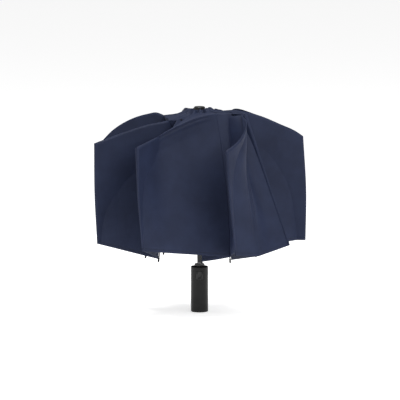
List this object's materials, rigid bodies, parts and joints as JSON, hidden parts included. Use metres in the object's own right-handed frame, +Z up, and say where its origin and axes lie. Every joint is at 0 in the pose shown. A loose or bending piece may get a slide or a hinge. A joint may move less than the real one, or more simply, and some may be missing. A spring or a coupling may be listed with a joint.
{
  "type": "folding umbrella",
  "caption": "Folding umbrella stored short with its canopy loose: straight handle with a push button, telescoping shaft, crown, runner, jointed ribs and pleated cloth.",
  "frame": {"origin": "centre of the handle's flat bottom face", "axes": "+Z up the shaft from handle to crown, -Y towards the release button, +X to its right as seen from the button's side"},
  "size_m": [0.3779, 0.3753, 0.372],
  "materials": {
    "canopy_cloth": "plain-woven polyester, navy",
    "grip_coating": "satin soft-touch coating",
    "handle_plastic": "moulded satin",
    "button_plastic": "satin to semi-gloss",
    "crown_plastic": "semi-gloss moulded",
    "bare_steel": "drawn, plated",
    "shaft_paint": "black baked enamel",
    "rib_steel": "thin grey-black plating"
  },
  "bodies": {
    "handle": {"handle_grip": "grip_coating", "handle_base": "handle_plastic", "handle_core": "handle_plastic", "lower_tube": "bare_steel", "button_spring": "bare_steel"},
    "button": {"release_button": "button_plastic"},
    "middle": {"middle_tube": "shaft_paint"},
    "upper": {"upper_tube": "shaft_paint", "crown_notch": "crown_plastic", "crown_cap": "crown_plastic", "canopy_crown": "canopy_cloth"},
    "runner": {"runner": "crown_plastic"},
    "top_rib_1": {"top_rib_1": "rib_steel"},
    "mid_rib_1": {"mid_rib_1": "rib_steel"},
    "end_rib_1": {"end_rib_1": "rib_steel"},
    "stretcher_1": {"stretcher_1": "rib_steel"},
    "canopy_panel_1a": {"canopy_panel_1a": "canopy_cloth"},
    "canopy_panel_1b": {"canopy_panel_1b": "canopy_cloth"},
    "top_rib_2": {"top_rib_2": "rib_steel"},
    "mid_rib_2": {"mid_rib_2": "rib_steel"},
    "end_rib_2": {"end_rib_2": "rib_steel"},
    "stretcher_2": {"stretcher_2": "rib_steel"},
    "canopy_panel_2a": {"canopy_panel_2a": "canopy_cloth"},
    "canopy_panel_2b": {"canopy_panel_2b": "canopy_cloth"},
    "top_rib_3": {"top_rib_3": "rib_steel"},
    "mid_rib_3": {"mid_rib_3": "rib_steel"},
    "end_rib_3": {"end_rib_3": "rib_steel"},
    "stretcher_3": {"stretcher_3": "rib_steel"},
    "canopy_panel_3a": {"canopy_panel_3a": "canopy_cloth"},
    "canopy_panel_3b": {"canopy_panel_3b": "canopy_cloth"},
    "top_rib_4": {"top_rib_4": "rib_steel"},
    "mid_rib_4": {"mid_rib_4": "rib_steel"},
    "end_rib_4": {"end_rib_4": "rib_steel"},
    "stretcher_4": {"stretcher_4": "rib_steel"},
    "canopy_panel_4a": {"canopy_panel_4a": "canopy_cloth"},
    "canopy_panel_4b": {"canopy_panel_4b": "canopy_cloth"},
    "top_rib_5": {"top_rib_5": "rib_steel"},
    "mid_rib_5": {"mid_rib_5": "rib_steel"},
    "end_rib_5": {"end_rib_5": "rib_steel"},
    "stretcher_5": {"stretcher_5": "rib_steel"},
    "canopy_panel_5a": {"canopy_panel_5a": "canopy_cloth"},
    "canopy_panel_5b": {"canopy_panel_5b": "canopy_cloth"},
    "top_rib_6": {"top_rib_6": "rib_steel"},
    "mid_rib_6": {"mid_rib_6": "rib_steel"},
    "end_rib_6": {"end_rib_6": "rib_steel"},
    "stretcher_6": {"stretcher_6": "rib_steel"},
    "canopy_panel_6a": {"canopy_panel_6a": "canopy_cloth"},
    "canopy_panel_6b": {"canopy_panel_6b": "canopy_cloth"},
    "top_rib_7": {"top_rib_7": "rib_steel"},
    "mid_rib_7": {"mid_rib_7": "rib_steel"},
    "end_rib_7": {"end_rib_7": "rib_steel"},
    "stretcher_7": {"stretcher_7": "rib_steel"},
    "canopy_panel_7a": {"canopy_panel_7a": "canopy_cloth"},
    "canopy_panel_7b": {"canopy_panel_7b": "canopy_cloth"},
    "top_rib_8": {"top_rib_8": "rib_steel"},
    "mid_rib_8": {"mid_rib_8": "rib_steel"},
    "end_rib_8": {"end_rib_8": "rib_steel"},
    "stretcher_8": {"stretcher_8": "rib_steel"},
    "canopy_panel_8a": {"canopy_panel_8a": "canopy_cloth"},
    "canopy_panel_8b": {"canopy_panel_8b": "canopy_cloth"}
  },
  "joints": [
    {"name": "button_press", "type": "slide", "parent": "handle", "child": "button", "axis": [0, 1, 0], "range_m": [0, 0.002], "stiffness_N_per_m": 600, "springref_m": -0.001, "deforming": ["button_spring"]},
    {"name": "middle_slide", "type": "slide", "parent": "handle", "child": "middle", "axis": [0, 0, 1], "range_m": [0, 0.125]},
    {"name": "upper_slide", "type": "slide", "parent": "middle", "child": "upper", "axis": [0, 0, 1], "range_m": [0, 0.13]},
    {"name": "runner_slide", "type": "slide", "parent": "upper", "child": "runner", "axis": [0, 0, 1], "range_m": [0, 0.0899], "deforming": ["canopy_crown", "canopy_panel_1a", "canopy_panel_1b", "canopy_panel_2a", "canopy_panel_2b", "canopy_panel_3a", "canopy_panel_3b", "canopy_panel_4a", "canopy_panel_4b", "canopy_panel_5a", "canopy_panel_5b", "canopy_panel_6a", "canopy_panel_6b", "canopy_panel_7a", "canopy_panel_7b", "canopy_panel_8a", "canopy_panel_8b"]},
    {"name": "top_fold_1", "type": "hinge", "parent": "upper", "child": "top_rib_1", "pos_m": [-0.00602, -0.00669, 0.362], "axis": [-0.7431, 0.6691, 0], "range_deg": [0, 60]},
    {"name": "mid_fold_1", "type": "hinge", "parent": "top_rib_1", "child": "mid_rib_1", "pos_m": [-0.03735, -0.04149, 0.2461], "axis": [0.7431, -0.6691, 0], "range_deg": [0, 166.5]},
    {"name": "end_fold_1", "type": "hinge", "parent": "mid_rib_1", "child": "end_rib_1", "pos_m": [-0.03429, -0.03808, 0.351], "axis": [-0.7431, 0.6691, 0], "range_deg": [0, 161.3]},
    {"name": "stretcher_pivot_1", "type": "hinge", "parent": "runner", "child": "stretcher_1", "pos_m": [-0.00736, -0.00817, 0.22295], "axis": [0.7431, -0.6691, 0], "range_deg": [0, 41.57]},
    {"name": "panel_open_1a", "type": "hinge", "parent": "end_rib_1", "child": "canopy_panel_1a", "pos_m": [-0.03429, -0.03808, 0.351], "axis": [-0.1528, -0.1697, -0.9736], "range_deg": [0, 60.65]},
    {"name": "panel_open_1b", "type": "hinge", "parent": "end_rib_1", "child": "canopy_panel_1b", "pos_m": [-0.03429, -0.03808, 0.351], "axis": [0.1528, 0.1697, 0.9736], "range_deg": [0, 82.49]},
    {"name": "top_fold_2", "type": "hinge", "parent": "upper", "child": "top_rib_2", "pos_m": [0.00047, -0.00899, 0.362], "axis": [-0.9986, -0.0523, 0], "range_deg": [0, 60]},
    {"name": "mid_fold_2", "type": "hinge", "parent": "top_rib_2", "child": "mid_rib_2", "pos_m": [0.00292, -0.05575, 0.2461], "axis": [0.9986, 0.0523, 0], "range_deg": [0, 166.5]},
    {"name": "end_fold_2", "type": "hinge", "parent": "mid_rib_2", "child": "end_rib_2", "pos_m": [0.00268, -0.05118, 0.351], "axis": [-0.9986, -0.0523, 0], "range_deg": [0, 168.1]},
    {"name": "stretcher_pivot_2", "type": "hinge", "parent": "runner", "child": "stretcher_2", "pos_m": [0.00058, -0.01098, 0.22295], "axis": [0.9986, 0.0523, 0], "range_deg": [0, 41.57]},
    {"name": "panel_open_2a", "type": "hinge", "parent": "end_rib_2", "child": "canopy_panel_2a", "pos_m": [0.00268, -0.05118, 0.351], "axis": [0.0058, -0.1113, -0.9938], "range_deg": [0, 48.46]},
    {"name": "panel_open_2b", "type": "hinge", "parent": "end_rib_2", "child": "canopy_panel_2b", "pos_m": [0.00268, -0.05118, 0.351], "axis": [-0.0058, 0.1113, 0.9938], "range_deg": [0, 79.22]},
    {"name": "top_fold_3", "type": "hinge", "parent": "upper", "child": "top_rib_3", "pos_m": [0.00669, -0.00602, 0.362], "axis": [-0.6691, -0.7431, 0], "range_deg": [0, 60]},
    {"name": "mid_fold_3", "type": "hinge", "parent": "top_rib_3", "child": "mid_rib_3", "pos_m": [0.04149, -0.03735, 0.2461], "axis": [0.6691, 0.7431, 0], "range_deg": [0, 166.5]},
    {"name": "end_fold_3", "type": "hinge", "parent": "mid_rib_3", "child": "end_rib_3", "pos_m": [0.03808, -0.03429, 0.351], "axis": [-0.6691, -0.7431, 0], "range_deg": [0, 169.4]},
    {"name": "stretcher_pivot_3", "type": "hinge", "parent": "runner", "child": "stretcher_3", "pos_m": [0.00817, -0.00736, 0.22295], "axis": [0.6691, 0.7431, 0], "range_deg": [0, 41.57]},
    {"name": "panel_open_3a", "type": "hinge", "parent": "end_rib_3", "child": "canopy_panel_3a", "pos_m": [0.03808, -0.03429, 0.351], "axis": [0.0661, -0.0595, -0.996], "range_deg": [0, 53.45]},
    {"name": "panel_open_3b", "type": "hinge", "parent": "end_rib_3", "child": "canopy_panel_3b", "pos_m": [0.03808, -0.03429, 0.351], "axis": [-0.0661, 0.0595, 0.996], "range_deg": [0, 81.3]},
    {"name": "top_fold_4", "type": "hinge", "parent": "upper", "child": "top_rib_4", "pos_m": [0.00899, 0.00047, 0.362], "axis": [0.0523, -0.9986, 0], "range_deg": [0, 60]},
    {"name": "mid_fold_4", "type": "hinge", "parent": "top_rib_4", "child": "mid_rib_4", "pos_m": [0.05575, 0.00292, 0.2461], "axis": [-0.0523, 0.9986, 0], "range_deg": [0, 166.5]},
    {"name": "end_fold_4", "type": "hinge", "parent": "mid_rib_4", "child": "end_rib_4", "pos_m": [0.05118, 0.00268, 0.351], "axis": [0.0523, -0.9986, 0], "range_deg": [0, 163.1]},
    {"name": "stretcher_pivot_4", "type": "hinge", "parent": "runner", "child": "stretcher_4", "pos_m": [0.01098, 0.00058, 0.22295], "axis": [-0.0523, 0.9986, 0], "range_deg": [0, 41.57]},
    {"name": "panel_open_4a", "type": "hinge", "parent": "end_rib_4", "child": "canopy_panel_4a", "pos_m": [0.05118, 0.00268, 0.351], "axis": [0.1974, 0.0103, -0.9803], "range_deg": [0, 38.27]},
    {"name": "panel_open_4b", "type": "hinge", "parent": "end_rib_4", "child": "canopy_panel_4b", "pos_m": [0.05118, 0.00268, 0.351], "axis": [-0.1974, -0.0103, 0.9803], "range_deg": [0, 82.83]},
    {"name": "top_fold_5", "type": "hinge", "parent": "upper", "child": "top_rib_5", "pos_m": [0.00602, 0.00669, 0.362], "axis": [0.7431, -0.6691, 0], "range_deg": [0, 60]},
    {"name": "mid_fold_5", "type": "hinge", "parent": "top_rib_5", "child": "mid_rib_5", "pos_m": [0.03735, 0.04149, 0.2461], "axis": [-0.7431, 0.6691, 0], "range_deg": [0, 166.5]},
    {"name": "end_fold_5", "type": "hinge", "parent": "mid_rib_5", "child": "end_rib_5", "pos_m": [0.03429, 0.03808, 0.351], "axis": [0.7431, -0.6691, 0], "range_deg": [0, 165.9]},
    {"name": "stretcher_pivot_5", "type": "hinge", "parent": "runner", "child": "stretcher_5", "pos_m": [0.00736, 0.00817, 0.22295], "axis": [-0.7431, 0.6691, 0], "range_deg": [0, 41.57]},
    {"name": "panel_open_5a", "type": "hinge", "parent": "end_rib_5", "child": "canopy_panel_5a", "pos_m": [0.03429, 0.03808, 0.351], "axis": [0.1001, 0.1111, -0.9888], "range_deg": [0, 46.24]},
    {"name": "panel_open_5b", "type": "hinge", "parent": "end_rib_5", "child": "canopy_panel_5b", "pos_m": [0.03429, 0.03808, 0.351], "axis": [-0.1001, -0.1111, 0.9888], "range_deg": [0, 77.69]},
    {"name": "top_fold_6", "type": "hinge", "parent": "upper", "child": "top_rib_6", "pos_m": [-0.00047, 0.00899, 0.362], "axis": [0.9986, 0.0523, 0], "range_deg": [0, 60]},
    {"name": "mid_fold_6", "type": "hinge", "parent": "top_rib_6", "child": "mid_rib_6", "pos_m": [-0.00292, 0.05575, 0.2461], "axis": [-0.9986, -0.0523, 0], "range_deg": [0, 166.5]},
    {"name": "end_fold_6", "type": "hinge", "parent": "mid_rib_6", "child": "end_rib_6", "pos_m": [-0.00268, 0.05118, 0.351], "axis": [0.9986, 0.0523, 0], "range_deg": [0, 164.7]},
    {"name": "stretcher_pivot_6", "type": "hinge", "parent": "runner", "child": "stretcher_6", "pos_m": [-0.00058, 0.01098, 0.22295], "axis": [-0.9986, -0.0523, 0], "range_deg": [0, 41.57]},
    {"name": "panel_open_6a", "type": "hinge", "parent": "end_rib_6", "child": "canopy_panel_6a", "pos_m": [-0.00268, 0.05118, 0.351], "axis": [-0.0089, 0.17, -0.9854], "range_deg": [0, 50.82]},
    {"name": "panel_open_6b", "type": "hinge", "parent": "end_rib_6", "child": "canopy_panel_6b", "pos_m": [-0.00268, 0.05118, 0.351], "axis": [0.0089, -0.17, 0.9854], "range_deg": [0, 76.35]},
    {"name": "top_fold_7", "type": "hinge", "parent": "upper", "child": "top_rib_7", "pos_m": [-0.00669, 0.00602, 0.362], "axis": [0.6691, 0.7431, 0], "range_deg": [0, 60]},
    {"name": "mid_fold_7", "type": "hinge", "parent": "top_rib_7", "child": "mid_rib_7", "pos_m": [-0.04149, 0.03735, 0.2461], "axis": [-0.6691, -0.7431, 0], "range_deg": [0, 166.5]},
    {"name": "end_fold_7", "type": "hinge", "parent": "mid_rib_7", "child": "end_rib_7", "pos_m": [-0.03808, 0.03429, 0.351], "axis": [0.6691, 0.7431, 0], "range_deg": [0, 166.3]},
    {"name": "stretcher_pivot_7", "type": "hinge", "parent": "runner", "child": "stretcher_7", "pos_m": [-0.00817, 0.00736, 0.22295], "axis": [-0.6691, -0.7431, 0], "range_deg": [0, 41.57]},
    {"name": "panel_open_7a", "type": "hinge", "parent": "end_rib_7", "child": "canopy_panel_7a", "pos_m": [-0.03808, 0.03429, 0.351], "axis": [-0.106, 0.0954, -0.9898], "range_deg": [0, 52.66]},
    {"name": "panel_open_7b", "type": "hinge", "parent": "end_rib_7", "child": "canopy_panel_7b", "pos_m": [-0.03808, 0.03429, 0.351], "axis": [0.106, -0.0954, 0.9898], "range_deg": [0, 73.34]},
    {"name": "top_fold_8", "type": "hinge", "parent": "upper", "child": "top_rib_8", "pos_m": [-0.00899, -0.00047, 0.362], "axis": [-0.0523, 0.9986, 0], "range_deg": [0, 60]},
    {"name": "mid_fold_8", "type": "hinge", "parent": "top_rib_8", "child": "mid_rib_8", "pos_m": [-0.05575, -0.00292, 0.2461], "axis": [0.0523, -0.9986, 0], "range_deg": [0, 166.5]},
    {"name": "end_fold_8", "type": "hinge", "parent": "mid_rib_8", "child": "end_rib_8", "pos_m": [-0.05118, -0.00268, 0.351], "axis": [-0.0523, 0.9986, 0], "range_deg": [0, 164.1]},
    {"name": "stretcher_pivot_8", "type": "hinge", "parent": "runner", "child": "stretcher_8", "pos_m": [-0.01098, -0.00058, 0.22295], "axis": [0.0523, -0.9986, 0], "range_deg": [0, 41.57]},
    {"name": "panel_open_8a", "type": "hinge", "parent": "end_rib_8", "child": "canopy_panel_8a", "pos_m": [-0.05118, -0.00268, 0.351], "axis": [-0.1803, -0.0094, -0.9836], "range_deg": [0, 54.43]},
    {"name": "panel_open_8b", "type": "hinge", "parent": "end_rib_8", "child": "canopy_panel_8b", "pos_m": [-0.05118, -0.00268, 0.351], "axis": [0.1803, 0.0094, 0.9836], "range_deg": [0, 65.46]}
  ],
  "couplings": [
    {"joint": "top_fold_1", "follows": "runner_slide", "rad_per_m": 11.648},
    {"joint": "mid_fold_1", "follows": "runner_slide", "rad_per_m": 32.325},
    {"joint": "end_fold_1", "follows": "runner_slide", "rad_per_m": 31.315},
    {"joint": "stretcher_pivot_1", "follows": "runner_slide", "rad_per_m": 8.0704},
    {"joint": "panel_open_1a", "follows": "runner_slide", "rad_per_m": 11.773},
    {"joint": "panel_open_1b", "follows": "runner_slide", "rad_per_m": 16.015},
    {"joint": "top_fold_2", "follows": "runner_slide", "rad_per_m": 11.648},
    {"joint": "mid_fold_2", "follows": "runner_slide", "rad_per_m": 32.325},
    {"joint": "end_fold_2", "follows": "runner_slide", "rad_per_m": 32.635},
    {"joint": "stretcher_pivot_2", "follows": "runner_slide", "rad_per_m": 8.0704},
    {"joint": "panel_open_2a", "follows": "runner_slide", "rad_per_m": 9.4074},
    {"joint": "panel_open_2b", "follows": "runner_slide", "rad_per_m": 15.379},
    {"joint": "top_fold_3", "follows": "runner_slide", "rad_per_m": 11.648},
    {"joint": "mid_fold_3", "follows": "runner_slide", "rad_per_m": 32.325},
    {"joint": "end_fold_3", "follows": "runner_slide", "rad_per_m": 32.888},
    {"joint": "stretcher_pivot_3", "follows": "runner_slide", "rad_per_m": 8.0704},
    {"joint": "panel_open_3a", "follows": "runner_slide", "rad_per_m": 10.377},
    {"joint": "panel_open_3b", "follows": "runner_slide", "rad_per_m": 15.783},
    {"joint": "top_fold_4", "follows": "runner_slide", "rad_per_m": 11.648},
    {"joint": "mid_fold_4", "follows": "runner_slide", "rad_per_m": 32.325},
    {"joint": "end_fold_4", "follows": "runner_slide", "rad_per_m": 31.664},
    {"joint": "stretcher_pivot_4", "follows": "runner_slide", "rad_per_m": 8.0704},
    {"joint": "panel_open_4a", "follows": "runner_slide", "rad_per_m": 7.4285},
    {"joint": "panel_open_4b", "follows": "runner_slide", "rad_per_m": 16.081},
    {"joint": "top_fold_5", "follows": "runner_slide", "rad_per_m": 11.648},
    {"joint": "mid_fold_5", "follows": "runner_slide", "rad_per_m": 32.325},
    {"joint": "end_fold_5", "follows": "runner_slide", "rad_per_m": 32.208},
    {"joint": "stretcher_pivot_5", "follows": "runner_slide", "rad_per_m": 8.0704},
    {"joint": "panel_open_5a", "follows": "runner_slide", "rad_per_m": 8.9761},
    {"joint": "panel_open_5b", "follows": "runner_slide", "rad_per_m": 15.083},
    {"joint": "top_fold_6", "follows": "runner_slide", "rad_per_m": 11.648},
    {"joint": "mid_fold_6", "follows": "runner_slide", "rad_per_m": 32.325},
    {"joint": "end_fold_6", "follows": "runner_slide", "rad_per_m": 31.975},
    {"joint": "stretcher_pivot_6", "follows": "runner_slide", "rad_per_m": 8.0704},
    {"joint": "panel_open_6a", "follows": "runner_slide", "rad_per_m": 9.8654},
    {"joint": "panel_open_6b", "follows": "runner_slide", "rad_per_m": 14.823},
    {"joint": "top_fold_7", "follows": "runner_slide", "rad_per_m": 11.648},
    {"joint": "mid_fold_7", "follows": "runner_slide", "rad_per_m": 32.325},
    {"joint": "end_fold_7", "follows": "runner_slide", "rad_per_m": 32.286},
    {"joint": "stretcher_pivot_7", "follows": "runner_slide", "rad_per_m": 8.0704},
    {"joint": "panel_open_7a", "follows": "runner_slide", "rad_per_m": 10.222},
    {"joint": "panel_open_7b", "follows": "runner_slide", "rad_per_m": 14.238},
    {"joint": "top_fold_8", "follows": "runner_slide", "rad_per_m": 11.648},
    {"joint": "mid_fold_8", "follows": "runner_slide", "rad_per_m": 32.325},
    {"joint": "end_fold_8", "follows": "runner_slide", "rad_per_m": 31.859},
    {"joint": "stretcher_pivot_8", "follows": "runner_slide", "rad_per_m": 8.0704},
    {"joint": "panel_open_8a", "follows": "runner_slide", "rad_per_m": 10.567},
    {"joint": "panel_open_8b", "follows": "runner_slide", "rad_per_m": 12.708}
  ]
}
